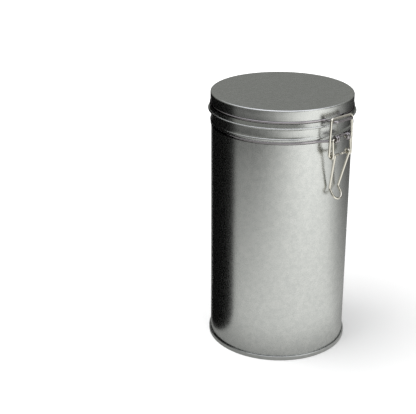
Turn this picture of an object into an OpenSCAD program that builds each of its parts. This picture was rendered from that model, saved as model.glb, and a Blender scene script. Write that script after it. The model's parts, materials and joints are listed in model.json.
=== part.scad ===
// Coffee tin: a tall round tinplate canister with a seamed base and a hinged
// slip lid, held shut by a wire toggle clasp at the front.
// Z is up and the base stands on z = 0. The clasp is at -Y, the hinge at +Y.

/* [Canister] */
// Outside diameter of the body wall
body_d = 99; // [98:0.5:100]
// Height from the base rim to the top of the lid
tin_h = 186.4; // [184:0.2:189]
// Thickness of the tinplate sheet
sheet_t = 0.32; // [0.28:0.02:0.34]
// Outside radius of the neck that the lid slips over
neck_r = 47.6; // [47.2:0.1:47.7]
// How far the base panel sits above the base rim
base_recess = 3.4; // [3:0.1:5]

/* [Lid] */
// Outside radius of the lid skirt
lid_r = 50.06; // [49.9:0.02:50.2]
// Depth of the lid from its top face to the bottom of its hem
lid_depth = 12.9; // [12.7:0.1:13.1]
// Radius of the rolled hem at the lid's lower edge
hem_r = 0.6; // [0.5:0.05:0.65]

/* [Wire] */
// Diameter of the spring wire
wire_d = 1.7; // [1.5:0.1:1.7]
// Radial clearance between a pin and the eye round it
eye_clear = 0.15; // [0.05:0.05:0.2]
// How far a hoop stands out of the sheet it is seated in
hoop_proud = 0.5; // [0.4:0.05:0.55]

/* [Clasp] */
// Distance of the lever's pivot from the tin's axis
pivot_r = 56.0; // [55.8:0.1:56.3]
// Height of the lever's pivot
pivot_z = 165.5; // [165.2:0.1:165.8]
// Distance of the bail's pivot from the tin's axis
bail_r = 55.3; // [55.1:0.1:55.5]
// Height of the bail's pivot
bail_z = 154; // [153.5:0.1:154.5]
// Distance of the catch bar from the tin's axis
catch_r = 58; // [57.6:0.1:58.2]

/* [Hinge] */
// Distance of the hinge bar from the tin's axis
hinge_r = 56.15; // [55.9:0.05:56.4]
// Height of the hinge bar
hinge_z = 171; // [170.6:0.1:171.4]

/* [Hidden] */
$fn = 96;
fit = 0.05;                     // gap left between pieces that touch

body_r = body_d / 2;
wire_r = wire_d / 2;
eye_r = wire_d + eye_clear;     // centre line radius of an eye or coil
turn = 1.5;                     // spacing of two turns that lie side by side
swell = 0.02;                   // bends and eyes are this much thicker than rods
bend_r = wire_r + swell;

// Double seam at the base: five layers with a little compound between them.
seam_gap = 0.1;
layer = sheet_t + seam_gap;
seam_r = body_r + 3 * layer;
seam_h = 3.1;
hook_h = 1.7;
wall_foot = 2 * sheet_t + seam_gap;   // where the wall turns out into its hook

// Heights along the body.
neck_ring_z = 163.65;
neck_ring_r = body_r + hoop_proud - wire_r;
bead_r = 0.7;                   // bulge of the bead above the neck hoop
bead_z = neck_ring_z + 2.25;
shoulder_z = 173.2;
shoulder_h = 1.5;
rim_z = tin_h - 2.1;            // top of the rolled rim of the neck
rim_curl_r = 0.8;

// Heights down the lid.
lid_ring_z = tin_h - 8.3;
lid_ring_r = lid_r + hoop_proud - wire_r;
lid_edge_r = 1;
hem_z = tin_h - lid_depth + hem_r;
hem_axis_r = lid_r + 1.1;

// Half widths along the clasp and the hinge, measured from the middle plane.
neck_foot_t = 15;               // where the neck hoop leaves its groove
eye_t = 6.9;                    // outer turn of the neck hoop's eyes
lever_t = 8.7;                  // upper arms of the lever
lever_pin_t = 3.6;              // inner ends of the lever's pins
kink_t = 4.2;                   // lower ends of the lever's arms
bail_pivot_t = 10.9;            // foot of the bail's arms
bail_top_t = 10.1;              // corners of the bail's bar
bail_pin_t = 1.2;               // inner ends of the bail's pins
catch_foot_t = 9.4;             // where the lid hoop leaves its groove
catch_t = 8.1;                  // corners of the catch bar
hinge_t = 12.5;                 // posts of the hinge bar
hinge_eye_t = 9.6;              // outer turn of the lid hoop's hinge eyes

// The lever in side view: kink and finger loop.
kink_r = 51.3;
kink_z = 129.1;
tip_r = 56.4;
tip_z = 122.2;
finger_len = norm([tip_r - kink_r, tip_z - kink_z]);
finger_drop = atan2(kink_z - tip_z, tip_r - kink_r);

// The bail's bar rests on the catch legs, just inside the catch bar.
bail_bar_r = 55.4;
bail_bar_z = lid_ring_z + wire_d + 0.08;

// Points of an arc in a profile plane, from angle a0 to a1.
function arc(c, r, a0, a1, n = 8) =
    [for (i = [0:n]) let (a = a0 + (a1 - a0) * i / n) c + r * [cos(a), sin(a)]];

// Unit normal to the left of the run from p to q.
function left(p, q) = let (d = (q - p) / norm(q - p)) [-d.y, d.x];

// Mitred copy of an open outline, moved to its left by t.
function beside(p, t) = let (n = len(p) - 1)
    [for (i = [0:n]) let (
        a = left(p[max(i - 1, 0)], p[max(i, 1)]),
        b = left(p[min(i, n - 1)], p[min(i + 1, n)]))
        p[i] + t * (a + b) / (1 + a * b)];

function reversed(p) = [for (i = [len(p) - 1:-1:0]) p[i]];

// A point of the clasp: t across, r out from the axis towards -Y, at height z.
function front(t, r, z) = [t, -r, z];
function rear(t, r, z) = [t, r, z];

// Distance from the axis, along Y, of a hoop of radius r at half width t.
function hoop_y(r, t) = sqrt(r * r - t * t);

// The section of a sheet of tinplate, from its outer outline.
module sheet_section(outline) {
    polygon(concat(outline, reversed(beside(outline, sheet_t))));
}

// The section of a rolled edge of radius r.
module roll_section(axis_r, z, r) {
    translate([axis_r, z])
        circle(r = r, $fn = 32);
}

// A box section from the corner (x, z), w wide and h high.
module bar_section(x, z, w, h) {
    translate([x, z])
        square([w, h]);
}

// Part of a wire hoop about Z, from angle a0 to a1.
module hoop_arc(ring_r, z, a0, a1) {
    translate([0, 0, z])
        rotate([0, 0, a0])
            rotate_extrude(angle = a1 - a0)
                translate([ring_r, 0])
                    circle(r = wire_r, $fn = 32);
}

// Straight wire from p to q.
module rod(p, q) {
    d = q - p;
    translate(p)
        rotate([0, acos(d.z / norm(d)), atan2(d.y, d.x)])
            cylinder(h = norm(d), r = wire_r, $fn = 32);
}

// Straight wire along X, reaching t to each side of p.
module cross_rod(t, p) {
    rod(p - [t, 0, 0], p + [t, 0, 0]);
}

// A bend in the wire at p.
module bend(p) {
    translate(p)
        sphere(r = bend_r, $fn = 32);
}

// Wire through a list of points, with a bend at each point between its ends.
module wire(points) {
    for (i = [0:len(points) - 2])
        rod(points[i], points[i + 1]);
    for (i = [1:1:len(points) - 2])
        bend(points[i]);
}

// An eye of two turns about an axis along X: its outer turn is at p.
module eye(p, inward) {
    for (i = [0, 1])
        translate(p + [inward * turn * i, 0, 0])
            rotate([0, 90, 0])
                rotate_extrude()
                    translate([eye_r, 0])
                        circle(r = bend_r, $fn = 32);
}

// The body: wall, groove for the neck hoop, bead, shoulder, neck and rolled rim.
module body_shell() {
    hook_r = body_r + 2 * layer;
    // Listed from the top down, and turned round below so its left is the inside.
    outline = concat(
        [[neck_r, rim_z - rim_curl_r]],
        arc([neck_r + shoulder_h, shoulder_z + shoulder_h], shoulder_h, 180, 236, 4),
        arc([body_r - shoulder_h, shoulder_z - 0.9], shoulder_h, 50, 0, 4),
        [[body_r, bead_z + 2.2]],
        arc([body_r - 0.5, bead_z], bead_r + 0.5, 50, -50, 8),
        arc([neck_ring_r, neck_ring_z], wire_r + fit, 62, 112, 3),
        arc([neck_ring_r, neck_ring_z], wire_r + fit, 130, 292, 10),
        [[body_r, neck_ring_z - wire_r - 0.55], [body_r, wall_foot]]);
    color([0.76, 0.77, 0.75])
        rotate_extrude() {
            sheet_section(reversed(outline));
            roll_section(neck_r - rim_curl_r, rim_z - rim_curl_r, rim_curl_r);
            // Body hook of the double seam, turned up outside the wall.
            bar_section(body_r - sheet_t, wall_foot - sheet_t,
                hook_r - body_r + sheet_t, sheet_t);
            bar_section(hook_r - sheet_t, wall_foot - sheet_t, sheet_t, hook_h);
        }
}

// The base: a recessed panel, its chuck wall and the outside of the double seam.
module base_plate() {
    chuck_r = body_r - layer;
    end_hook_r = body_r + layer;
    color([0.7, 0.71, 0.69])
        rotate_extrude() {
            bar_section(0, base_recess, chuck_r, sheet_t);
            bar_section(chuck_r - sheet_t, 0, sheet_t, base_recess + sheet_t);
            bar_section(chuck_r - sheet_t, 0, seam_r - chuck_r + sheet_t, sheet_t);
            bar_section(seam_r - sheet_t, 0, sheet_t, seam_h);
            bar_section(end_hook_r - sheet_t, seam_h - sheet_t,
                seam_r - end_hook_r + sheet_t, sheet_t);
            bar_section(end_hook_r - sheet_t, seam_h - hook_h, sheet_t, hook_h);
        }
}

// The lining compound that seals the end hook inside the body hook.
module seam_compound() {
    color([0.85, 0.84, 0.78])
        rotate_extrude()
            bar_section(body_r + 0.02, wall_foot + 0.02,
                layer + seam_gap - 0.04, seam_h - hook_h - wall_foot - 0.04);
}

// The lower hoop: two seated arcs, the clasp eyes in front, the hinge bar behind.
module neck_ring() {
    foot_y = hoop_y(neck_ring_r, neck_foot_t);
    gap = asin(neck_foot_t / neck_ring_r);
    eye_in = eye_r * cos(45);
    color([0.8, 0.8, 0.76])
        for (s = [-1, 1]) {
            if (s > 0)
                hoop_arc(neck_ring_r, neck_ring_z, gap - 90, 90 - gap);
            else
                hoop_arc(neck_ring_r, neck_ring_z, 90 + gap, 270 - gap);
            bend(front(s * neck_foot_t, foot_y, neck_ring_z));
            rod(front(s * neck_foot_t, foot_y, neck_ring_z),
                front(s * eye_t, pivot_r - eye_in, pivot_z - eye_in));
            eye(front(s * eye_t, pivot_r, pivot_z), -s);
            bend(rear(s * neck_foot_t, foot_y, neck_ring_z));
            wire([rear(s * neck_foot_t, foot_y, neck_ring_z),
                rear(s * hinge_t, hinge_r, neck_ring_z),
                rear(s * hinge_t, hinge_r, hinge_z)]);
            bend(rear(s * hinge_t, hinge_r, hinge_z));
        }
    color([0.8, 0.8, 0.76]) {
        cross_rod(eye_t - turn, [0, -pivot_r, pivot_z + eye_r]);
        cross_rod(hinge_t, [0, hinge_r, hinge_z]);
    }
}

// The lid: flat top, rounded edge, skirt, groove for its hoop, flare and hem.
module lid_shell() {
    outline = concat(
        [[hem_axis_r + hem_r * 0.7, hem_z + hem_r * 0.6]],
        [[lid_r + 0.35, lid_ring_z - wire_r - 0.9]],
        arc([lid_ring_r, lid_ring_z], wire_r + fit, 292, 112, 12),
        [[lid_r, lid_ring_z + wire_r + 0.45]],
        arc([lid_r - lid_edge_r, tin_h - lid_edge_r], lid_edge_r, 0, 90, 6),
        [[0, tin_h]]);
    color([0.74, 0.75, 0.73])
        rotate_extrude() {
            sheet_section(outline);
            roll_section(hem_axis_r, hem_z, hem_r);
        }
}

// The silicone gasket under the lid, which the rolled rim presses into.
module lid_gasket() {
    gasket_z = rim_z + 0.08;
    color([0.92, 0.92, 0.9])
        difference() {
            translate([0, 0, gasket_z])
                cylinder(h = tin_h - sheet_t - 0.02 - gasket_z, r = neck_r + 0.5);
            translate([0, 0, gasket_z - 1])
                cylinder(h = 5, r = neck_r - 2.4);
        }
}

// The upper hoop: two seated arcs joined by the catch, with a hinge eye at each end.
module lid_ring() {
    foot_y = hoop_y(lid_ring_r, catch_foot_t);
    gap = asin(catch_foot_t / lid_ring_r);
    rear_y = hoop_y(lid_ring_r, hinge_t);
    rear_gap = asin(hinge_t / lid_ring_r);
    eye_in = eye_r * cos(45);
    color([0.8, 0.8, 0.76])
        for (s = [-1, 1]) {
            if (s > 0)
                hoop_arc(lid_ring_r, lid_ring_z, gap - 90, 90 - rear_gap);
            else
                hoop_arc(lid_ring_r, lid_ring_z, 90 + rear_gap, 270 - gap);
            bend(front(s * catch_foot_t, foot_y, lid_ring_z));
            rod(front(s * catch_foot_t, foot_y, lid_ring_z),
                front(s * catch_t, catch_r, lid_ring_z));
            bend(front(s * catch_t, catch_r, lid_ring_z));
            bend(rear(s * hinge_t, rear_y, lid_ring_z));
            wire([rear(s * hinge_t, rear_y, lid_ring_z),
                rear(s * hinge_eye_t, hinge_r - eye_r, lid_ring_z),
                rear(s * hinge_eye_t, hinge_r - eye_in, hinge_z + eye_in)]);
            eye(rear(s * hinge_eye_t, hinge_r, hinge_z), -s);
        }
    color([0.8, 0.8, 0.76])
        cross_rod(catch_t, [0, -catch_r, lid_ring_z]);
}

// The lever: pins in the neck hoop's eyes, coils round the bail, arms, finger loop.
module lever() {
    low_t = lever_t - turn;
    eye_out = eye_r * cos(45);
    color([0.82, 0.81, 0.75]) {
        for (s = [-1, 1]) {
            wire([front(s * lever_pin_t, pivot_r, pivot_z),
                front(s * lever_t, pivot_r, pivot_z),
                front(s * lever_t, bail_r + eye_out, bail_z + eye_out)]);
            eye(front(s * lever_t, bail_r, bail_z), -s);
            rod(front(s * low_t, bail_r + eye_out, bail_z - eye_out),
                front(s * kink_t, kink_r, kink_z));
            bend(front(s * kink_t, kink_r, kink_z));
        }
        translate(front(0, kink_r, kink_z))
            rotate([finger_drop, 0, 0])
                mirror([0, 1, 0])
                    finger_loop();
    }
}

// The finger loop, laid flat: two short legs along +Y and a half circle.
module finger_loop() {
    leg = finger_len - kink_t;
    for (s = [-1, 1])
        rod([s * kink_t, 0, 0], [s * kink_t, leg, 0]);
    translate([0, leg, 0])
        rotate_extrude(angle = 180)
            translate([kink_t, 0])
                circle(r = wire_r, $fn = 32);
}

// The bail: pins in the lever's coils, two arms and the bar that hooks the catch.
module bail() {
    bend_z = (bail_z + bail_bar_z) / 2 + 3;
    bend_t = (bail_pivot_t + bail_top_t) / 2;
    color([0.82, 0.81, 0.75]) {
        for (s = [-1, 1]) {
            wire([front(s * bail_pin_t, bail_r, bail_z),
                front(s * bail_pivot_t, bail_r, bail_z),
                front(s * bend_t, bail_bar_r, bend_z),
                front(s * bail_top_t, bail_bar_r, bail_bar_z)]);
            bend(front(s * bail_top_t, bail_bar_r, bail_bar_z));
        }
        cross_rod(bail_top_t, [0, -bail_bar_r, bail_bar_z]);
    }
}

body_shell();
base_plate();
seam_compound();
neck_ring();
lid_shell();
lid_gasket();
lid_ring();
lever();
bail();
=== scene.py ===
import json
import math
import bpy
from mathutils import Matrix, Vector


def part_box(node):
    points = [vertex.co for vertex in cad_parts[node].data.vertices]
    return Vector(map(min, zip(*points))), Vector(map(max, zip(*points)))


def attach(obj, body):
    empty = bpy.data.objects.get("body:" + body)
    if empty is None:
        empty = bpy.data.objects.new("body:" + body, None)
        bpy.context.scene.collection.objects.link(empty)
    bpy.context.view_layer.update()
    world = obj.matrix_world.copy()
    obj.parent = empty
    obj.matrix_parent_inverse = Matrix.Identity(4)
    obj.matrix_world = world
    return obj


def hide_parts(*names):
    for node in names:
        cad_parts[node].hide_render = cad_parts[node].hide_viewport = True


bl_info = {
    "name": "Clasp Coffee Tin",
    "version": (1, 0, 0),
    "blender": (4, 5, 0),
    "location": "View3D > Sidebar > Coffee Tin",
    "description": "Builds the tinplate, the bent wire and the studio around a coffee tin's CAD frame",
    "category": "Add Mesh",
}

import bmesh
import bpy
from bpy.props import FloatProperty, FloatVectorProperty, IntProperty, PointerProperty
from mathutils import Vector

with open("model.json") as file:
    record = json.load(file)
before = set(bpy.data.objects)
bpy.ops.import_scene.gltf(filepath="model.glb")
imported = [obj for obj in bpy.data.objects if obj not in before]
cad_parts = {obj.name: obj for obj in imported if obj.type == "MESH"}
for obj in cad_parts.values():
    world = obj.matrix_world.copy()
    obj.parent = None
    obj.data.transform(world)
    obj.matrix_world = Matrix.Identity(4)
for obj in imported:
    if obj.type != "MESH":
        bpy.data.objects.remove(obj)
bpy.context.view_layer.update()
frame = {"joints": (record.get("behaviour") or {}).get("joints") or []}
MM = 0.001


# ---------------------------------------------------------------- the frame's own measures

def joint_place(name):
    """Distance from the axis and height of a joint of the frame, in metres."""
    pos = next(j["pos_m"] for j in frame["joints"] if j["name"] == name)
    return abs(pos[1]), pos[2]


HINGE_R, HINGE_Z = joint_place("lid_hinge")
PIVOT_R, PIVOT_Z = joint_place("lever_pivot")
BAIL_R, BAIL_Z = joint_place("bail_pivot")


# ---------------------------------------------------------------- what a user would change

class TinSizes(bpy.types.PropertyGroup):
    """Sizes of the sheet metal and of the fineness of its mesh."""

    sheet: FloatProperty(
        name="Sheet", description="Thickness of the tinplate", default=0.32 * MM,
        min=0.1 * MM, max=1 * MM, unit="LENGTH", precision=5)
    hoop_proud: FloatProperty(
        name="Hoop proud", description="How far a hoop stands out of its sheet",
        default=0.5 * MM, min=0, max=1 * MM, unit="LENGTH", precision=5)
    hem: FloatProperty(
        name="Hem", description="Radius of the rolled hem of the lid", default=0.6 * MM,
        min=0.3 * MM, max=1 * MM, unit="LENGTH", precision=5)
    seam_layer: FloatProperty(
        name="Seam layer", description="One layer of the base seam with its compound",
        default=0.42 * MM, min=0.2 * MM, max=1 * MM, unit="LENGTH", precision=5)
    lid_edge: FloatProperty(
        name="Lid edge", description="Radius of the rounded edge of the lid's top",
        default=1.0 * MM, min=0.4 * MM, max=2 * MM, unit="LENGTH", precision=5)
    steps: IntProperty(
        name="Steps", description="Steps round the tin", default=256, min=64, max=512)


class WireSizes(bpy.types.PropertyGroup):
    """Sizes of the spring wire."""

    diameter: FloatProperty(
        name="Wire diameter", description="Diameter of the spring wire", default=1.7 * MM,
        min=1 * MM, max=2.5 * MM, unit="LENGTH", precision=5)
    clearance: FloatProperty(
        name="Eye clearance", description="Gap between a pin and the eye round it",
        default=0.15 * MM, min=0, max=0.5 * MM, unit="LENGTH", precision=5)
    sides: IntProperty(
        name="Sides", description="Sides of the wire's section", default=18, min=8, max=48)


class TinFinish(bpy.types.PropertyGroup):
    """Colours of the finishes."""

    tin: FloatVectorProperty(
        name="Tinplate", description="Colour of the satin tinplate", subtype="COLOR",
        size=3, min=0, max=1, default=(0.60, 0.61, 0.59))
    tin_dark: FloatVectorProperty(
        name="Tinplate grain", description="Darker colour of the tinplate's grain",
        subtype="COLOR", size=3, min=0, max=1, default=(0.50, 0.515, 0.50))
    wire: FloatVectorProperty(
        name="Nickel", description="Colour of the plated wire", subtype="COLOR",
        size=3, min=0, max=1, default=(0.74, 0.715, 0.635))
    wire_dark: FloatVectorProperty(
        name="Nickel stain", description="Colour of the plating where it has dulled",
        subtype="COLOR", size=3, min=0, max=1, default=(0.50, 0.48, 0.41))
    wire_edge: FloatVectorProperty(
        name="Nickel edge", description="Tint of the plated wire's gloss at a slant",
        subtype="COLOR", size=3, min=0, max=1, default=(0.12, 0.10, 0.14))


class StudioSettings(bpy.types.PropertyGroup):
    """Where the tin is seen from, and how it is lit."""

    turn: FloatProperty(
        name="Turn", description="How far the clasp is turned away from the viewer",
        default=math.radians(41.5), subtype="ANGLE")
    dip: FloatProperty(
        name="Dip", description="How far the view looks down",
        default=math.radians(22.29), subtype="ANGLE")
    distance: FloatProperty(
        name="Distance", description="Level distance from the viewer to the tin's axis",
        default=0.6954, unit="LENGTH")
    height: FloatProperty(
        name="Height", description="Height of the viewer above the floor",
        default=0.3835, unit="LENGTH")
    aside: FloatProperty(
        name="Aside", description="How far the tin stands to the right of the view's middle",
        default=0.0517, unit="LENGTH")
    lens: FloatProperty(
        name="Lens", description="Focal length in millimetres", default=89.4, min=20, max=300)


# ---------------------------------------------------------------- mesh helpers

def arc(centre, radius, start, end, steps=10):
    """Points of an arc in a profile plane, from start to end degrees."""
    points = []
    for i in range(steps + 1):
        a = math.radians(start + (end - start) * i / steps)
        points.append((centre[0] + radius * math.cos(a), centre[1] + radius * math.sin(a)))
    return points


def beside(outline, offset):
    """A mitred copy of an open outline, moved to its left by offset."""
    normals = []
    for p, q in zip(outline, outline[1:]):
        d = Vector((q[0] - p[0], q[1] - p[1])).normalized()
        normals.append(Vector((-d.y, d.x)))
    copy = []
    for i, p in enumerate(outline):
        a = normals[max(i - 1, 0)]
        b = normals[min(i, len(normals) - 1)]
        shift = (a + b) * (offset / (1 + a.dot(b)))
        copy.append((p[0] + shift.x, p[1] + shift.y))
    return copy


def new_object(name, bm, sharp=math.radians(35)):
    """Turns a bmesh into a smooth object of that name."""
    mesh = bpy.data.meshes.new(name)
    bmesh.ops.recalc_face_normals(bm, faces=bm.faces)
    bm.to_mesh(mesh)
    bm.free()
    mesh.shade_smooth()
    mesh.set_sharp_from_angle(angle=sharp)
    obj = bpy.data.objects.new(name, mesh)
    bpy.context.scene.collection.objects.link(obj)
    return obj


def turned(name, outline, steps, closed=True):
    """Turns a closed outline of (radius, height) points about the tin's axis."""
    bm = bmesh.new()
    rings = []
    for radius, height in outline:
        if radius < 1e-6:
            rings.append([bm.verts.new((0, 0, height))])
            continue
        ring = []
        for i in range(steps):
            a = 2 * math.pi * i / steps
            ring.append(bm.verts.new((radius * math.cos(a), radius * math.sin(a), height)))
        rings.append(ring)
    pairs = list(zip(rings, rings[1:]))
    if closed:
        pairs.append((rings[-1], rings[0]))
    for low, high in pairs:
        for i in range(steps):
            j = (i + 1) % steps
            if len(low) == 1 and len(high) == 1:
                continue
            if len(low) == 1:
                bm.faces.new((low[0], high[j], high[i]))
            elif len(high) == 1:
                bm.faces.new((low[i], low[j], high[0]))
            else:
                bm.faces.new((low[i], low[j], high[j], high[i]))
    return new_object(name, bm)


def sheet_ring(name, outline, thickness, steps):
    """Turns a sheet of that thickness, drawn by its outer outline, about the axis."""
    return turned(name, outline + beside(outline, thickness)[::-1], steps)


def hermite(p, p_way, q, q_way, steps=8):
    """Points of a smooth bend between p and q, without its two ends."""
    reach = (q - p).length
    points = []
    for i in range(1, steps):
        t = i / steps
        a = 2 * t ** 3 - 3 * t ** 2 + 1
        b = t ** 3 - 2 * t ** 2 + t
        c = -2 * t ** 3 + 3 * t ** 2
        d = t ** 3 - t ** 2
        points.append(a * p + b * reach * p_way + c * q + d * reach * q_way)
    return points


def bent(runs):
    """Joins runs of wire with smooth bends into one path."""
    path = list(runs[0])
    for run in runs[1:]:
        p_way = (path[-1] - path[-2]).normalized()
        q_way = (run[1] - run[0]).normalized()
        path += hermite(path[-1], p_way, run[0], q_way)
        path += run
    return path


def mirrored(path):
    """The path and its mirror image beyond the middle plane, as one path."""
    other = [Vector((-p.x, p.y, p.z)) for p in path]
    return other[::-1] + path[1:]


def tube(name, path, radius, sides, loop=False):
    """Sweeps a round section along a path, with rounded cut ends."""
    bm = bmesh.new()
    count = len(path)
    ways = []
    for i in range(count):
        before = path[i - 1] if (i > 0 or loop) else path[i]
        after = path[(i + 1) % count] if (i < count - 1 or loop) else path[i]
        ways.append((after - before).normalized())
    side = ways[0].orthogonal().normalized()
    frames = []
    for way in ways:
        side = (side - way * side.dot(way)).normalized()
        frames.append((side.copy(), way.cross(side)))
    twist = 0.0
    if loop:
        way = ways[0]
        last = (frames[-1][0] - way * frames[-1][0].dot(way)).normalized()
        twist = math.atan2(last.cross(frames[0][0]).dot(way), last.dot(frames[0][0]))

    def section(point, index, scale, shift=0.0):
        a_side, b_side = frames[index]
        verts = []
        for k in range(sides):
            a = 2 * math.pi * k / sides + twist * index / count
            offset = (a_side * math.cos(a) + b_side * math.sin(a)) * radius * scale
            verts.append(bm.verts.new(point + offset + ways[index] * shift))
        return verts

    rounding = 0.25
    rings = []
    if not loop:
        rings.append(section(path[0], 0, 1 - rounding))
        rings.append(section(path[0], 0, 1 - rounding / 3, radius * rounding / 3))
        rings.append(section(path[0], 0, 1, radius * rounding))
        for i in range(1, count - 1):
            rings.append(section(path[i], i, 1))
        rings.append(section(path[-1], count - 1, 1, -radius * rounding))
        rings.append(section(path[-1], count - 1, 1 - rounding / 3, -radius * rounding / 3))
        rings.append(section(path[-1], count - 1, 1 - rounding))
    else:
        rings = [section(p, i, 1) for i, p in enumerate(path)]
    pairs = list(zip(rings, rings[1:]))
    if loop:
        pairs.append((rings[-1], rings[0]))
    for low, high in pairs:
        for k in range(sides):
            j = (k + 1) % sides
            bm.faces.new((low[k], low[j], high[j], high[k]))
    if not loop:
        bm.faces.new(rings[0][::-1])
        bm.faces.new(rings[-1])
    return new_object(name, bm)


# ---------------------------------------------------------------- the wire's own geometry

def front(across, out, up):
    """A point of the clasp: across the middle plane, out towards -Y, and up."""
    return Vector((across, -out, up))


def rear(across, out, up):
    """A point of the hinge: across the middle plane, out towards +Y, and up."""
    return Vector((across, out, up))


def hoop_run(radius, height, start, end, steps=90):
    """Points of a hoop about the tin's axis, from start to end degrees."""
    points = []
    for i in range(steps + 1):
        a = math.radians(start + (end - start) * i / steps)
        points.append(Vector((radius * math.cos(a), radius * math.sin(a), height)))
    return points


def coil_run(place, centre, radius, start, end, across_start, across_end, steps=60):
    """A helix about an axis along X. Its angles run from outwards (0) to up (90)."""
    points = []
    for i in range(steps + 1):
        t = i / steps
        a = math.radians(start + (end - start) * t)
        across = across_start + (across_end - across_start) * t
        points.append(place(across, centre[0] + radius * math.cos(a),
                            centre[1] + radius * math.sin(a)))
    return points


def straight(p, q, trim_p, trim_q, steps=4):
    """Points along the straight run from p to q, cut back at its two ends."""
    way = (q - p).normalized()
    a = p + way * trim_p
    b = q - way * trim_q
    return [a.lerp(b, i / steps) for i in range(steps + 1)]


# ---------------------------------------------------------------- shader node groups

def group_tree(name, inputs, outputs):
    """A new shader node group with float inputs and typed outputs."""
    tree = bpy.data.node_groups.new(name, "ShaderNodeTree")
    for label, value in inputs:
        socket = tree.interface.new_socket(
            name=label, in_out="INPUT", socket_type="NodeSocketFloat")
        socket.default_value = value
    for label, kind in outputs:
        tree.interface.new_socket(name=label, in_out="OUTPUT", socket_type=kind)
    return tree, tree.nodes.new("NodeGroupInput"), tree.nodes.new("NodeGroupOutput")


def math_node(tree, operation, a, b, clamp=False):
    """A Math node of two values, each a socket or a number."""
    node = tree.nodes.new("ShaderNodeMath")
    node.operation = operation
    node.use_clamp = clamp
    for socket, value in zip(node.inputs, (a, b)):
        if isinstance(value, (int, float)):
            socket.default_value = value
        else:
            tree.links.new(value, socket)
    return node.outputs[0]


def map_range(tree, value, low, high, to_low, to_high):
    """Maps a value from one range to another, held at the ends."""
    node = tree.nodes.new("ShaderNodeMapRange")
    tree.links.new(value, node.inputs["Value"])
    for label, number in (("From Min", low), ("From Max", high),
                          ("To Min", to_low), ("To Max", to_high)):
        node.inputs[label].default_value = number
    return node.outputs["Result"]


def noise_node(tree, vector, scale, detail, roughness=0.6):
    """A 3-D noise whose scale may be a socket."""
    node = tree.nodes.new("ShaderNodeTexNoise")
    node.inputs["Detail"].default_value = detail
    node.inputs["Roughness"].default_value = roughness
    tree.links.new(vector, node.inputs["Vector"])
    if isinstance(scale, (int, float)):
        node.inputs["Scale"].default_value = scale
    else:
        tree.links.new(scale, node.inputs["Scale"])
    return node.outputs["Fac"]


GRAIN_SHARE = 0.45              # of the fine grain in the tone; the mottle has the rest
NOISE_STRETCH = 4.0             # noise keeps near its middle, so it is spread this much
SMUDGES_ABOVE = 0.52            # noise above this is a smudge
SCRATCHES_ABOVE = 0.66          # stretched noise above this is a scratch


def make_grain_group():
    """Fine matte grain of rolled tinplate, in object space: tone, roughness and height."""
    tree, given, out = group_tree(
        "Tinplate Grain",
        [("Grain Scale", 1500.0), ("Mottle Scale", 280.0), ("Contrast", 0.5),
         ("Roughness", 0.36), ("Roughness Spread", 0.03)],
        [("Tone", "NodeSocketFloat"), ("Roughness", "NodeSocketFloat"),
         ("Height", "NodeSocketFloat")])
    place = tree.nodes.new("ShaderNodeTexCoord").outputs["Object"]
    grain = noise_node(tree, place, given.outputs["Grain Scale"], 3.0, 0.7)
    mottle = noise_node(tree, place, given.outputs["Mottle Scale"], 4.0, 0.6)
    both = math_node(tree, "ADD", math_node(tree, "MULTIPLY", grain, GRAIN_SHARE),
                     math_node(tree, "MULTIPLY", mottle, 1 - GRAIN_SHARE))
    centred = math_node(tree, "SUBTRACT", both, 0.5)
    tone = math_node(tree, "MULTIPLY", centred, given.outputs["Contrast"])
    tone = math_node(tree, "ADD", math_node(tree, "MULTIPLY", tone, NOISE_STRETCH), 0.5,
                     clamp=True)
    rough = math_node(tree, "MULTIPLY", centred, given.outputs["Roughness Spread"])
    rough = math_node(tree, "ADD", math_node(tree, "MULTIPLY", rough, NOISE_STRETCH),
                      given.outputs["Roughness"], clamp=True)
    tree.links.new(tone, out.inputs["Tone"])
    tree.links.new(rough, out.inputs["Roughness"])
    tree.links.new(grain, out.inputs["Height"])
    return tree


def make_handling_group():
    """Marks of handling, in object space: a mask of faint smudges and fine scratches."""
    tree, given, out = group_tree(
        "Handling Marks",
        [("Smudge Scale", 35.0), ("Scratch Scale", 90.0), ("Amount", 0.5)],
        [("Mask", "NodeSocketFloat")])
    place = tree.nodes.new("ShaderNodeTexCoord").outputs["Object"]
    smudge = noise_node(tree, place, given.outputs["Smudge Scale"], 5.0, 0.55)
    smudge = math_node(tree, "SUBTRACT", smudge, SMUDGES_ABOVE, clamp=True)
    stretch = tree.nodes.new("ShaderNodeMapping")
    stretch.inputs["Scale"].default_value = (1.0, 1.0, 14.0)
    stretch.inputs["Rotation"].default_value = (0.5, 0.3, 0.0)
    tree.links.new(place, stretch.inputs["Vector"])
    scratch = noise_node(tree, stretch.outputs[0], given.outputs["Scratch Scale"], 2.0, 0.5)
    scratch = math_node(tree, "SUBTRACT", scratch, SCRATCHES_ABOVE, clamp=True)
    total = math_node(tree, "ADD", math_node(tree, "MULTIPLY", smudge, 2.0),
                      math_node(tree, "MULTIPLY", scratch, 4.0))
    total = math_node(tree, "MULTIPLY", total, given.outputs["Amount"], clamp=True)
    tree.links.new(total, out.inputs["Mask"])
    return tree


def placed(tree, group, **values):
    """A group node of that group with its inputs set by name."""
    node = tree.nodes.new("ShaderNodeGroup")
    node.node_tree = group
    for label, value in values.items():
        node.inputs[label.replace("_", " ")].default_value = value
    return node


def new_material(name, **shader):
    """A material with an empty tree but for its Principled BSDF."""
    material = bpy.data.materials.new(name)
    material.use_nodes = True
    bsdf = material.node_tree.nodes["Principled BSDF"]
    for label, value in shader.items():
        bsdf.inputs[label.replace("_", " ")].default_value = value
    return material, material.node_tree, bsdf


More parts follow.
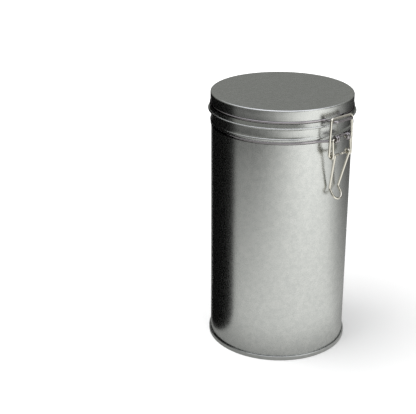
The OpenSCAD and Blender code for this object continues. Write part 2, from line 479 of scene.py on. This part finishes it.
def mix_colours(tree, factor, first, second):
    """A colour between two, each a socket or plain numbers, by a factor socket."""
    node = tree.nodes.new("ShaderNodeMix")
    node.data_type = "RGBA"
    tree.links.new(factor, node.inputs["Factor"])
    for label, colour in (("A", first), ("B", second)):
        if isinstance(colour, (tuple, list)):
            node.inputs[label].default_value = (*colour, 1)
        else:
            tree.links.new(colour, node.inputs[label])
    return node.outputs["Result"]


def bump(tree, height, bsdf, strength, distance):
    """Feeds a height into the shader's normal."""
    node = tree.nodes.new("ShaderNodeBump")
    node.inputs["Strength"].default_value = strength
    node.inputs["Distance"].default_value = distance
    tree.links.new(height, node.inputs["Height"])
    tree.links.new(node.outputs["Normal"], bsdf.inputs["Normal"])


def colour_between(tree, bsdf, factor, first, second):
    """Gives the shader a base colour between two, by a factor socket."""
    tree.links.new(mix_colours(tree, factor, first, second), bsdf.inputs["Base Color"])


def roughen(tree, bsdf, marks, clean, gain):
    """Gives the shader a roughness, a socket or a number, that marks of handling add to."""
    rough = math_node(tree, "MULTIPLY", marks.outputs["Mask"], gain)
    rough = math_node(tree, "ADD", rough, clean, clamp=True)
    tree.links.new(rough, bsdf.inputs["Roughness"])


GROUPS = {}


def shared_group(name):
    """The shared node group of that name, built the first time it is asked for."""
    makers = {"grain": make_grain_group, "handling": make_handling_group}
    if name not in GROUPS:
        GROUPS[name] = makers[name]()
    return GROUPS[name]


def tinplate(name, tone=1.0, roughness=0.27, contrast=1.0, relief=0.12):
    """Satin tinplate: grain in its tone, roughness and relief, with faint handling marks."""
    finish = bpy.context.scene.tin_finish
    material, tree, bsdf = new_material(name, Metallic=1.0)
    grain = placed(tree, shared_group("grain"), Contrast=contrast, Roughness=roughness)
    marks = placed(tree, shared_group("handling"), Amount=0.35)
    bright = [c * tone for c in finish.tin]
    dark = [c * tone for c in finish.tin_dark]
    colour_between(tree, bsdf, grain.outputs["Tone"], dark, bright)
    roughen(tree, bsdf, marks, clean=grain.outputs["Roughness"], gain=0.12)
    bump(tree, grain.outputs["Height"], bsdf, relief, 0.02 * MM)
    return material


def nickel(name, tint=(1, 1, 1)):
    """Bright nickel plated spring wire, with drawing lines and slightly dulled patches. A tint below
    white darkens all of it, as painted shade.
    """
    finish = bpy.context.scene.tin_finish
    material, tree, bsdf = new_material(name, Metallic=1.0)
    marks = placed(tree, shared_group("handling"), Smudge_Scale=180.0,
                   Scratch_Scale=400.0, Amount=0.8)
    bright = [c * t for c, t in zip(finish.wire, tint)]
    dull = [c * t for c, t in zip(finish.wire_dark, tint)]
    colour_between(tree, bsdf, marks.outputs["Mask"], bright, dull)
    bsdf.inputs["Specular Tint"].default_value = (*finish.wire_edge, 1)
    roughen(tree, bsdf, marks, clean=0.07, gain=0.25)
    bump(tree, marks.outputs["Mask"], bsdf, 0.15, 0.02 * MM)
    return material


def silicone(name):
    """Milky silicone rubber with a soft surface."""
    material, tree, bsdf = new_material(
        name, Subsurface_Weight=0.3, Subsurface_Scale=1.5 * MM, Specular_IOR_Level=0.4)
    marks = placed(tree, shared_group("handling"), Smudge_Scale=60.0, Amount=0.6)
    colour_between(tree, bsdf, marks.outputs["Mask"], (0.80, 0.80, 0.77), (0.68, 0.67, 0.62))
    roughen(tree, bsdf, marks, clean=0.42, gain=0.2)
    return material


def compound(name):
    """Dull lining compound with a grainy surface."""
    material, tree, bsdf = new_material(name, Specular_IOR_Level=0.3)
    grain = placed(tree, shared_group("grain"), Contrast=0.8, Roughness=0.7)
    colour_between(tree, bsdf, grain.outputs["Tone"], (0.50, 0.47, 0.38), (0.62, 0.60, 0.52))
    tree.links.new(grain.outputs["Roughness"], bsdf.inputs["Roughness"])
    bump(tree, grain.outputs["Height"], bsdf, 0.4, 0.05 * MM)
    return material


def weld_tin(name):
    """The welded side seam: tinplate tinted and dulled by heat."""
    material, tree, bsdf = new_material(name, Metallic=1.0)
    grain = placed(tree, shared_group("grain"), Mottle_Scale=420.0, Contrast=0.9,
                   Roughness=0.42)
    colour_between(tree, bsdf, grain.outputs["Tone"], (0.30, 0.29, 0.27), (0.48, 0.47, 0.44))
    tree.links.new(grain.outputs["Roughness"], bsdf.inputs["Roughness"])
    bump(tree, grain.outputs["Height"], bsdf, 0.6, 0.05 * MM)
    return material


MATERIALS = {}


def material(name):
    """The finish of that name, built the first time it is asked for."""
    makers = {
        "satin_body": lambda: tinplate("satin_body"),
        "satin_lid": lambda: tinplate("satin_lid", contrast=0.7),
        "satin_base": lambda: tinplate("satin_base", tone=0.95, roughness=0.34),
        "nickel_wire": lambda: nickel("nickel_wire"),
        # The hoops' nickel is a darker, purple-tinted copy of the wire's: painted shade of their
        # grooves and painted dark reflection.
        "nickel_hoop_painted_shade": lambda: nickel("nickel_hoop_painted_shade", (0.49, 0.48, 0.55)),
        "milky_silicone": lambda: silicone("milky_silicone"),
        "lining_compound": lambda: compound("lining_compound"),
        "welded_tin": lambda: weld_tin("welded_tin"),
    }
    if name not in MATERIALS:
        MATERIALS[name] = makers[name]()
    return MATERIALS[name]


def settle(obj, body, finish, slot, *nodes):
    """Gives a finished piece its material and its body, and hides the nodes it stands for. Its slot is
    not used.
    """
    obj.data.materials.append(material(finish))
    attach(obj, body)
    if nodes:
        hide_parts(*nodes)


# ---------------------------------------------------------------- places in the frame

# Measures that the boxes of the frame's nodes don't give.
BEND_SWELL = 0.02 * MM          # how much thicker the frame's bends are than its rods
GROOVE_GAP = 0.22 * MM          # between a hoop and the groove that it sits in
HOOK_HEIGHT = 1.7 * MM          # of each of the two hooks of the base seam
WELD_FOOT = 3.4 * MM            # from the foot of the tin up to the side weld
LOWER_GAP = 15 * MM             # half width of the lower hoop's gaps, front and back
EYE_PLACE = 6.95 * MM           # half width to the outer turn of the clasp's eyes
HINGE_POST = 12.5 * MM          # half width of the hinge bar and of the gap over it
CATCH_GAP = 9.4 * MM            # half width of the upper hoop's gap at the catch
CATCH_PLACE = 8.1 * MM          # half width of the catch's bar
HINGE_EYE = 9.6 * MM            # half width to the outer turn of the hinge eyes
LOOP_RADIUS = 4.2 * MM          # of the finger loop, on its centre line
LEVER_PIN = 3.6 * MM            # half width between the ends of the lever's pins
BAIL_PIN = 1.2 * MM             # half width between the ends of the bail's pins


def hoop_centre(context, node):
    """Radius and height of the centre line of a hoop, from its node's box."""
    wire_r = context.scene.wire_sizes.diameter / 2
    low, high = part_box(node)
    if node == "neck_ring":
        return high.x - wire_r, low.z + wire_r + BEND_SWELL
    return high.x - wire_r, high.z - wire_r - BEND_SWELL


def body_radius(context):
    """Outside radius of the body's wall."""
    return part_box("neck_ring")[1].x - context.scene.tin_sizes.hoop_proud


def wall_strip(name, radius, width, thickness, low, high):
    """A thin raised strip up the back of the wall, with chamfered edges."""
    bm = bmesh.new()
    half = width / 2 / radius
    flat = 0.75 * half
    section = [(-half, 0), (-flat, thickness), (flat, thickness), (half, 0),
               (half, -thickness), (-half, -thickness)]
    steps, sides = 24, len(section)
    rows = []
    for i in range(steps + 1):
        height = low + (high - low) * i / steps
        row = []
        for angle, lift in section:
            a = math.pi / 2 + angle
            r = radius + lift
            row.append(bm.verts.new((r * math.cos(a), r * math.sin(a), height)))
        rows.append(row)
    for a, b in zip(rows, rows[1:]):
        for k in range(sides):
            j = (k + 1) % sides
            bm.faces.new((a[k], a[j], b[j], b[k]))
    bm.faces.new(rows[0][::-1])
    bm.faces.new(rows[-1])
    return new_object(name, bm)


# ---------------------------------------------------------------- the sheet metal

class TIN_OT_body(bpy.types.Operator):
    """Body: wall, groove, bead, shoulder, neck, rolled rim and the hook of the seam"""

    bl_idname = "coffee_tin.body"
    bl_label = "Tin body"

    def execute(self, context):
        sizes = context.scene.tin_sizes
        sheet = sizes.sheet
        hoop_r, hoop_z = hoop_centre(context, "neck_ring")
        low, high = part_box("body_shell")
        wall = body_radius(context)
        groove = context.scene.wire_sizes.diameter / 2 + GROOVE_GAP
        foot = low.z + sheet
        hook_r = wall + 2 * sizes.seam_layer - sheet
        hook_top = low.z + HOOK_HEIGHT
        neck_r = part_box("lid_gasket")[1].x - 0.5 * MM
        bend = 1.5 * MM
        shoulder_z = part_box("lid_shell")[0].z - 0.3 * MM
        bead_z = hoop_z + 2.25 * MM
        curl = 0.8 * MM
        outline = (
            [(hook_r, hook_top), (hook_r, foot), (wall, foot)]
            + [(wall, z) for z in (0.02, 0.06, 0.1, 0.14)]
            + [(wall, hoop_z - groove - 0.5 * MM)]
            + arc((hoop_r, hoop_z), groove, 288, 62, 22)
            + arc((wall - 0.5 * MM, bead_z), 1.2 * MM, -50, 50, 16)
            + [(wall, bead_z + 2.2 * MM)]
            + arc((wall - bend, shoulder_z - 0.9 * MM), bend, 0, 50, 8)
            + arc((neck_r + bend, shoulder_z + bend), bend, 236, 180, 8)
            + arc((neck_r - curl, high.z - curl), curl, 0, 250, 22))
        tin = sheet_ring("tin_body", outline, sheet, sizes.steps)
        settle(tin, "canister", "satin_body", "tinplate_body", "body_shell")
        weld = wall_strip("side_weld", wall, 1.1 * MM, 0.1 * MM,
                          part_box("base_plate")[0].z + WELD_FOOT, hoop_z - 2.2 * MM)
        settle(weld, "canister", "welded_tin", "tinplate_body")
        return {"FINISHED"}


class TIN_OT_base(bpy.types.Operator):
    """Base: recessed panel with an expansion bead, chuck wall and rounded double seam"""

    bl_idname = "coffee_tin.base"
    bl_label = "Tin base"

    def execute(self, context):
        sizes = context.scene.tin_sizes
        sheet = sizes.sheet
        low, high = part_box("base_plate")
        recess = high.z - sheet
        seam_r = high.x
        seam_h = 3.1 * MM
        chuck = body_radius(context) - sizes.seam_layer - sheet
        hook = body_radius(context) + sizes.seam_layer - sheet
        bend = 0.45 * MM
        bead_r, bead_w, bead_h = 0.84 * chuck, 3 * MM, 0.45 * MM
        bead = []
        for i in range(13):
            t = i / 12
            lift = bead_h * 0.5 * (1 - math.cos(2 * math.pi * t))
            bead.append((bead_r + bead_w * (t - 0.5), recess - lift))
        outline = (
            [(0, recess), (0.3 * chuck, recess), (0.6 * chuck, recess)] + bead
            + arc((chuck - bend, recess - bend), bend, 90, 0, 6)
            + arc((chuck + bend, low.z + bend), bend, 180, 270, 6)
            + arc((seam_r - bend, low.z + bend), bend, 270, 360, 6)
            + arc((seam_r - bend, low.z + seam_h - bend), bend, 0, 90, 6)
            + arc((hook + bend, low.z + seam_h - bend), bend, 90, 180, 6)
            + [(hook, low.z + seam_h - HOOK_HEIGHT)])
        base = sheet_ring("tin_base", outline, sheet, sizes.steps)
        settle(base, "canister", "satin_base", "tinplate_base", "base_plate")
        low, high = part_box("seam_compound")
        inner = body_radius(context) + 0.02 * MM
        ring = turned("seam_lining", [(inner, low.z), (high.x, low.z), (high.x, high.z),
                                      (inner, high.z)], sizes.steps)
        settle(ring, "canister", "lining_compound", "lining_compound", "seam_compound")
        return {"FINISHED"}


class TIN_OT_lid(bpy.types.Operator):
    """Lid: flat top, rounded edge, skirt, groove, flare, rolled hem, and its gasket"""

    bl_idname = "coffee_tin.lid"
    bl_label = "Tin lid"

    def execute(self, context):
        sizes = context.scene.tin_sizes
        sheet = sizes.sheet
        hoop_r, hoop_z = hoop_centre(context, "lid_ring")
        low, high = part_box("lid_shell")
        groove = context.scene.wire_sizes.diameter / 2 + GROOVE_GAP
        skirt = hoop_r + context.scene.wire_sizes.diameter / 2 - sizes.hoop_proud
        hem = (high.x - sizes.hem, low.z + sizes.hem)
        edge = sizes.lid_edge
        outline = (
            arc(hem, sizes.hem - sheet, 150, -180, 22)
            + [(skirt + 0.55 * MM, hem[1] + 1.2 * MM)]
            + [(skirt + 0.3 * MM, hoop_z - groove - 0.75 * MM)]
            + arc((hoop_r, hoop_z), groove, 290, 68, 22)
            + [(skirt, hoop_z + groove + 0.35 * MM), (skirt, high.z - 4 * MM)]
            + arc((skirt - edge, high.z - edge), edge, 0, 90, 10)
            + [(r * skirt, high.z) for r in (0.9, 0.6, 0.3, 0)])
        lid = sheet_ring("tin_lid", outline, sheet, sizes.steps)
        settle(lid, "lid", "satin_lid", "tinplate_lid", "lid_shell")
        low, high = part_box("lid_gasket")
        inner, lip = high.x - 2.9 * MM, 0.45 * MM
        outline = ([(inner, high.z)] + arc((inner + lip, low.z + lip), lip, 180, 270, 6)
                   + arc((high.x - lip, low.z + lip), lip, 270, 360, 6)
                   + [(high.x, high.z)])
        gasket = turned("lid_gasket_ring", outline, sizes.steps)
        settle(gasket, "lid", "milky_silicone", "silicone", "lid_gasket")
        return {"FINISHED"}


# ---------------------------------------------------------------- the bent wire

class TIN_OT_hoops(bpy.types.Operator):
    """Hoops: the lower one with its eyes and hinge bar, the upper one with its catch"""

    bl_idname = "coffee_tin.hoops"
    bl_label = "Wire hoops"

    def execute(self, context):
        wire = context.scene.wire_sizes
        eye = wire.diameter + wire.clearance
        swell = BEND_SWELL + wire.diameter / 2

        hoop_r, hoop_z = hoop_centre(context, "neck_ring")
        foot_t, post_t = LOWER_GAP, HINGE_POST
        foot_y = math.sqrt(hoop_r ** 2 - foot_t ** 2)
        gap = math.degrees(math.asin(foot_t / hoop_r)) + 1.5
        eye_t, pitch = EYE_PLACE, wire.diameter + 0.04 * MM
        arrive, leave = 225, 810        # degrees round the eye, outwards to up
        turns = (leave - arrive) / 360
        foot, knee = front(foot_t, foot_y, hoop_z), eye * math.cos(math.radians(45))
        arrival = front(eye_t, PIVOT_R - knee, PIVOT_Z - knee)
        inner_t = eye_t - pitch * turns
        runs = [
            straight(rear(0, HINGE_R, HINGE_Z), rear(post_t, HINGE_R, HINGE_Z), 0, 1.5 * MM, 8),
            straight(rear(post_t, HINGE_R, HINGE_Z), rear(post_t, HINGE_R, hoop_z),
                     1.5 * MM, 1.5 * MM),
            straight(rear(post_t, HINGE_R, hoop_z), rear(foot_t, foot_y, hoop_z),
                     1.5 * MM, 1.8 * MM),
            hoop_run(hoop_r, hoop_z, 90 - gap, gap - 90),
            straight(foot, arrival, 1.8 * MM, 1.6 * MM),
            coil_run(front, (PIVOT_R, PIVOT_Z), eye, arrive + 15, leave - 20,
                     eye_t - 0.1 * MM, inner_t + 0.1 * MM, 110),
            straight(front(inner_t - 0.3 * MM, PIVOT_R, PIVOT_Z + eye),
                     front(0, PIVOT_R, PIVOT_Z + eye), 0.6 * MM, 0),
        ]
        half = bent(runs)
        other = [Vector((-p.x, p.y, p.z)) for p in half[1:-1]]
        lower = tube("neck_hoop", half + other[::-1], wire.diameter / 2, wire.sides, loop=True)
        settle(lower, "canister", "nickel_hoop_painted_shade", "nickel_wire", "neck_ring")

        hoop_r, hoop_z = hoop_centre(context, "lid_ring")
        catch_r, catch_t = -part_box("lid_ring")[0].y - swell, CATCH_PLACE
        foot_t, arm_t = CATCH_GAP, HINGE_POST
        hinge_t = HINGE_EYE
        foot_y = math.sqrt(hoop_r ** 2 - foot_t ** 2)
        arm_y = math.sqrt(hoop_r ** 2 - arm_t ** 2)
        gap = math.degrees(math.asin(foot_t / hoop_r)) + 1.5
        rear_gap = math.degrees(math.asin(arm_t / hoop_r)) + 1.5
        corner = front(catch_t, catch_r, hoop_z)
        knee = rear(hinge_t, HINGE_R - eye, hoop_z)
        runs = [
            straight(front(0, catch_r, hoop_z), corner, 0, 1.3 * MM, 8),
            straight(corner, front(foot_t, foot_y, hoop_z), 1.3 * MM, 1.4 * MM),
            hoop_run(hoop_r, hoop_z, gap - 90, 90 - rear_gap),
            straight(rear(arm_t, arm_y, hoop_z), knee, 1.4 * MM, 1.4 * MM),
            straight(knee, rear(hinge_t, HINGE_R - eye, HINGE_Z), 1.4 * MM, 0.3 * MM),
            coil_run(rear, (HINGE_R, HINGE_Z), eye, 185, 700, hinge_t, hinge_t - 2.5 * MM, 100),
        ]
        upper = tube("lid_hoop", mirrored(bent(runs)), wire.diameter / 2, wire.sides)
        settle(upper, "lid", "nickel_hoop_painted_shade", "nickel_wire", "lid_ring")
        return {"FINISHED"}


class TIN_OT_clasp(bpy.types.Operator):
    """Clasp: the lever with its coils and finger loop, and the bail"""

    bl_idname = "coffee_tin.clasp"
    bl_label = "Clasp"

    def execute(self, context):
        wire = context.scene.wire_sizes
        eye = wire.diameter + wire.clearance
        swell = BEND_SWELL + wire.diameter / 2
        low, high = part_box("lever")
        arm_t = high.x - swell
        low_t = arm_t - wire.diameter - 0.05 * MM
        kink = (LOOP_RADIUS, BAIL_R - 4 * MM, low.z + wire.diameter / 2 + 6.9 * MM)
        tip = (PIVOT_R + 0.4 * MM, low.z + wire.diameter / 2)
        kink_p = front(*kink)
        loop_top = front(0, *kink[1:])
        fall = front(0, *tip) - loop_top
        drop = fall.normalized()
        centre = loop_top + drop * (fall.length - LOOP_RADIUS)
        quarter = [math.pi / 2 * i / 16 for i in range(17)]
        loop = [centre + Vector((LOOP_RADIUS * math.cos(a), 0, 0))
                + drop * LOOP_RADIUS * math.sin(a) for a in quarter]
        pivot = front(arm_t, PIVOT_R, PIVOT_Z)
        coil_top = front(arm_t, BAIL_R + eye, BAIL_Z)
        leave = math.radians(-13.2)
        coil_foot = front(low_t, BAIL_R + eye * math.cos(leave), BAIL_Z + eye * math.sin(leave))
        runs = [
            loop[::-1],
            straight(loop[0], kink_p, 0.6 * MM, 1.0 * MM),
            straight(kink_p, coil_foot, 1.0 * MM, 0.6 * MM, 12),
            coil_run(front, (BAIL_R, BAIL_Z), eye, -375, 4, low_t, arm_t, 80),
            straight(coil_top, pivot, 0.5 * MM, 1.3 * MM, 6),
            straight(pivot, front(LEVER_PIN, PIVOT_R, PIVOT_Z), 1.3 * MM, 0, 6),
        ]
        lever = tube("clasp_lever", mirrored(bent(runs)), wire.diameter / 2, wire.sides)
        settle(lever, "lever", "nickel_wire", "nickel_wire", "lever")

        low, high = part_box("bail")
        foot_t = high.x - swell
        bar_z = high.z - swell
        bar_r, top_t = BAIL_R + 0.1 * MM, foot_t - 0.8 * MM
        bend_z = (BAIL_Z + bar_z) / 2 + 3 * MM
        foot = front(foot_t, BAIL_R, BAIL_Z)
        bend = front((foot_t + top_t) / 2, bar_r, bend_z)
        corner = front(top_t, bar_r, bar_z)
        runs = [
            straight(front(0, bar_r, bar_z), corner, 0, 1.2 * MM, 8),
            straight(corner, bend, 1.2 * MM, 0.8 * MM, 6),
            straight(bend, foot, 0.8 * MM, 1.4 * MM, 6),
            straight(foot, front(BAIL_PIN, BAIL_R, BAIL_Z), 1.4 * MM, 0, 6),
        ]
        bail = tube("clasp_bail", mirrored(bent(runs)), wire.diameter / 2, wire.sides)
        settle(bail, "bail", "nickel_wire", "nickel_wire", "bail")
        return {"FINISHED"}


# ---------------------------------------------------------------- the studio

LAMP_AIM = 0.1                          # height that the lamps face
FLAG_ASIDE, FLAG_BEYOND = -0.10495, 0.00524     # from the axis: to the right, and farther off
FLAG_BLACK = (0.004, 0.004, 0.004)
FLOOR_RADIUS = 4
BRIGHT_TURN, DARK_TURN = 46, 138        # degrees to the right of the viewer
PAPER_WHITE, PAPER_GLOW = (0.9, 0.9, 0.9), (1.0, 1.0, 0.985)
BLACK, WHITE = (0.0, 0.0, 0.0), (1.0, 1.0, 1.0)
SKY_LEVEL, ZENITH_LEVEL = 0.27, 1.6     # sky in reflections, and what is added overhead
SKY_TINT, ZENITH_TINT = (1.0, 1.012, 0.955), (0.92, 0.92, 1.0)

# Ranges: from and to, then the values there. These go by the distance from the tin's axis.
# The floor's glow paints a pool of light toward the bright side, and dims far off.
FAN_POWER = (0.16, 0.64, 1.0, 3.0)      # how narrow the bright side is
GLOW_DIM = (0.16, 0.68, 0.72, 0.12)     # the floor away from the bright side
GLOW_BRIGHT = (0.12, 0.6, 1.05, 1.45)   # the floor in the middle of the bright side
# Painted shadow: the part of the glow left round the tin's foot.
FOOT_SHADE = (0.05, 0.1, 0.45, 1.0)     # what is left of the glow round the tin's foot
# Painted shade: how much the glow is dimmed toward the dark side.
DARK_DEPTH = (0.12, 0.6, 0.55, 0.8)     # what the dark side takes away
PAPER_LIFT = (0.08, 1.4, 0.235, 1.3)    # keeps the paper white far from the lamps
# These go by how nearly the way lies toward the side, and the sky's by how nearly it is up.
FAN_SIDE = (-0.3, 1.0, 0.0, 1.0)
DARK_SIDE = (0.45, 1.0, 0.0, 1.0)
ZENITH_RISE = (0.55, 0.92, 0.0, ZENITH_LEVEL)
ZENITH_COOL = (0.5, 0.8, 0.0, 1.0)


def toward(context, turn, distance, height):
    """A place round the tin: turn degrees to the right of the viewer, level distance, height."""
    a = context.scene.tin_studio.turn - math.radians(turn)
    return Vector((-distance * math.sin(a), -distance * math.cos(a), height))


def softbox(context, name, turn, distance, height, width, tall, power):
    """A rectangular studio light that faces the middle of the tin."""
    light = bpy.data.lights.new(name, "AREA")
    light.shape = "RECTANGLE"
    light.size = width
    light.size_y = tall
    light.energy = power
    lamp = bpy.data.objects.new(name, light)
    lamp.location = toward(context, turn, distance, height)
    way = Vector((0, 0, LAMP_AIM)) - lamp.location
    lamp.rotation_euler = way.to_track_quat("-Z", "Y").to_euler()
    lamp.visible_camera = False
    context.scene.collection.objects.link(lamp)
    return lamp


def between(tree, factor, low, high):
    """A value between two sockets, by a factor socket."""
    rest = math_node(tree, "SUBTRACT", 1.0, factor)
    return math_node(tree, "ADD", math_node(tree, "MULTIPLY", high, factor),
                     math_node(tree, "MULTIPLY", low, rest))


def toward_side(tree, place, reach, way):
    """How nearly a place on the floor lies in a level direction, from -1 to 1."""
    node = tree.nodes.new("ShaderNodeVectorMath")
    node.operation = "DOT_PRODUCT"
    tree.links.new(place, node.inputs[0])
    node.inputs[1].default_value = way
    return math_node(tree, "DIVIDE", node.outputs["Value"], reach)


def floor_material(name, bright_way, dark_way):
    """White paper. What it gives to reflections is its own glow, with painted light and shade: bright
    one way and dark another.
    """
    material, tree, bsdf = new_material(name, Roughness=1.0, Specular_IOR_Level=0.0)
    place = tree.nodes.new("ShaderNodeTexCoord").outputs["Object"]
    length = tree.nodes.new("ShaderNodeVectorMath")
    length.operation = "LENGTH"
    tree.links.new(place, length.inputs[0])
    reach = length.outputs["Value"]

    # A painted pool of light: a bright fan that narrows as it goes out, on a floor whose glow dims as
    # it goes out.
    side = toward_side(tree, place, reach, bright_way)
    side = math_node(tree, "POWER", map_range(tree, side, *FAN_SIDE),
                     map_range(tree, reach, *FAN_POWER))
    glow = between(tree, side, map_range(tree, reach, *GLOW_DIM),
                   map_range(tree, reach, *GLOW_BRIGHT))

    # Painted shadow round the tin's foot, and painted shade toward the dark side.
    glow = math_node(tree, "MULTIPLY", glow, map_range(tree, reach, *FOOT_SHADE))
    shade = map_range(tree, toward_side(tree, place, reach, dark_way), *DARK_SIDE)
    shade = math_node(tree, "MULTIPLY", shade, map_range(tree, reach, *DARK_DEPTH))
    glow = math_node(tree, "MULTIPLY", glow, math_node(tree, "SUBTRACT", 1.0, shade))

    # Seen directly it is plain paper, lifted so that it stays white far from the lamps.
    seen = tree.nodes.new("ShaderNodeLightPath").outputs["Is Camera Ray"]
    colour_between(tree, bsdf, seen, BLACK, PAPER_WHITE)
    bsdf.inputs["Emission Color"].default_value = (*PAPER_GLOW, 1)
    lift = map_range(tree, reach, *PAPER_LIFT)
    tree.links.new(between(tree, seen, glow, lift), bsdf.inputs["Emission Strength"])
    return material


def add_floor(context):
    """A wide white floor, whose glow paints light and shade into the tin's reflections."""
    bm = bmesh.new()
    bmesh.ops.create_circle(bm, cap_ends=True, segments=96, radius=FLOOR_RADIUS)
    floor = new_object("studio_floor", bm)
    floor.data.materials.append(floor_material(
        "white_floor_painted_glow", toward(context, BRIGHT_TURN, 1.0, 0.0),
        toward(context, DARK_TURN, 1.0, 0.0)))


def add_flag(context):
    """A black round flag as big as the tin, which shows only in reflections."""
    height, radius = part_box("lid_shell")[1].z, body_radius(context)
    turn = context.scene.tin_studio.turn
    bm = bmesh.new()
    bmesh.ops.create_cone(bm, cap_ends=True, segments=96, radius1=radius, radius2=radius,
                          depth=height)
    flag = new_object("black_flag", bm)
    flag.location = (FLAG_ASIDE * math.cos(turn) + FLAG_BEYOND * math.sin(turn),
                     -FLAG_ASIDE * math.sin(turn) + FLAG_BEYOND * math.cos(turn), height / 2)
    cloth, _, bsdf = new_material("black_cloth", Roughness=0.9, Specular_IOR_Level=0.0)
    bsdf.inputs["Base Color"].default_value = (*FLAG_BLACK, 1)
    flag.data.materials.append(cloth)
    flag.visible_camera = False
    flag.visible_shadow = False
    flag.visible_diffuse = False


def add_lamps(context):
    """A small key light, and a large one overhead that shows in no reflection."""
    softbox(context, "key_box", turn=48, distance=1.0, height=0.55, width=0.6, tall=0.8,
            power=1.6)
    top = softbox(context, "top_box", turn=-75, distance=0.55, height=1.7, width=1.5,
                  tall=1.5, power=28)
    top.visible_glossy = False


def add_sky(scene):
    """A sky that is white to the viewer, and grey with a bright zenith in reflections."""
    world = bpy.data.worlds.new("studio_sky")
    scene.world = world
    world.use_nodes = True
    tree = world.node_tree
    path = tree.nodes.new("ShaderNodeLightPath")
    seen = path.outputs["Is Camera Ray"]
    axes = tree.nodes.new("ShaderNodeSeparateXYZ")
    tree.links.new(tree.nodes.new("ShaderNodeTexCoord").outputs["Generated"], axes.inputs[0])
    up = axes.outputs["Z"]
    level = map_range(tree, up, *ZENITH_RISE)
    level = math_node(tree, "MULTIPLY", level, path.outputs["Is Glossy Ray"])
    level = math_node(tree, "MAXIMUM", math_node(tree, "ADD", level, SKY_LEVEL), seen)
    tint = mix_colours(tree, map_range(tree, up, *ZENITH_COOL), SKY_TINT, ZENITH_TINT)
    sky = tree.nodes["Background"]
    tree.links.new(mix_colours(tree, seen, tint, WHITE), sky.inputs["Color"])
    tree.links.new(level, sky.inputs["Strength"])


def add_camera(scene):
    """The camera, which looks down on the tin from the left of its clasp."""
    studio = scene.tin_studio
    camera = bpy.data.cameras.new("view")
    camera.lens = studio.lens
    camera.sensor_width = 36
    camera.clip_start = 0.01
    viewer = bpy.data.objects.new("view", camera)
    turn = studio.turn
    away = Vector((-math.sin(turn), -math.cos(turn), 0)) * studio.distance
    side = Vector((-math.cos(turn), math.sin(turn), 0)) * studio.aside
    viewer.location = away + side + Vector((0, 0, studio.height))
    viewer.rotation_euler = (math.pi / 2 - studio.dip, 0, -turn)
    scene.collection.objects.link(viewer)
    scene.camera = viewer


class TIN_OT_studio(bpy.types.Operator):
    """Studio: white floor, black flag, softboxes, sky and the camera"""

    bl_idname = "coffee_tin.studio"
    bl_label = "Studio"

    def execute(self, context):
        scene = context.scene
        add_floor(context)
        add_flag(context)
        add_lamps(context)
        add_sky(scene)
        add_camera(scene)
        scene.view_settings.view_transform = "Standard"
        scene.view_settings.look = "None"
        return {"FINISHED"}


# ---------------------------------------------------------------- the panel and the run

PIECES = (TIN_OT_body, TIN_OT_base, TIN_OT_lid, TIN_OT_hoops, TIN_OT_clasp, TIN_OT_studio)


class TIN_PT_panel(bpy.types.Panel):
    """Lists the tin's sizes, its finishes and the pieces that can be built"""

    bl_idname = "TIN_PT_panel"
    bl_label = "Coffee Tin"
    bl_space_type = "VIEW_3D"
    bl_region_type = "UI"
    bl_category = "Coffee Tin"

    def draw(self, context):
        scene = context.scene
        for title, group in (("Sheet metal", scene.tin_sizes), ("Wire", scene.wire_sizes),
                             ("Finish", scene.tin_finish), ("Studio", scene.tin_studio)):
            box = self.layout.box()
            box.label(text=title)
            for prop in group.bl_rna.properties:
                if prop.identifier not in {"rna_type", "name"}:
                    box.prop(group, prop.identifier)
        for piece in PIECES:
            self.layout.operator(piece.bl_idname)


SETTINGS = {
    "tin_sizes": TinSizes,
    "wire_sizes": WireSizes,
    "tin_finish": TinFinish,
    "tin_studio": StudioSettings,
}


def register():
    """Adds the classes, and the settings to the scene."""
    for cls in (*SETTINGS.values(), *PIECES, TIN_PT_panel):
        bpy.utils.register_class(cls)
    for name, group in SETTINGS.items():
        setattr(bpy.types.Scene, name, PointerProperty(type=group))


def unregister():
    """Takes the settings and the classes away again."""
    for name in SETTINGS:
        delattr(bpy.types.Scene, name)
    for cls in reversed((*SETTINGS.values(), *PIECES, TIN_PT_panel)):
        bpy.utils.unregister_class(cls)


def main():
    """Builds everything in order."""
    register()
    bpy.ops.coffee_tin.body()
    bpy.ops.coffee_tin.base()
    bpy.ops.coffee_tin.lid()
    bpy.ops.coffee_tin.hoops()
    bpy.ops.coffee_tin.clasp()
    bpy.ops.coffee_tin.studio()


if __name__ == "__main__":
    main()
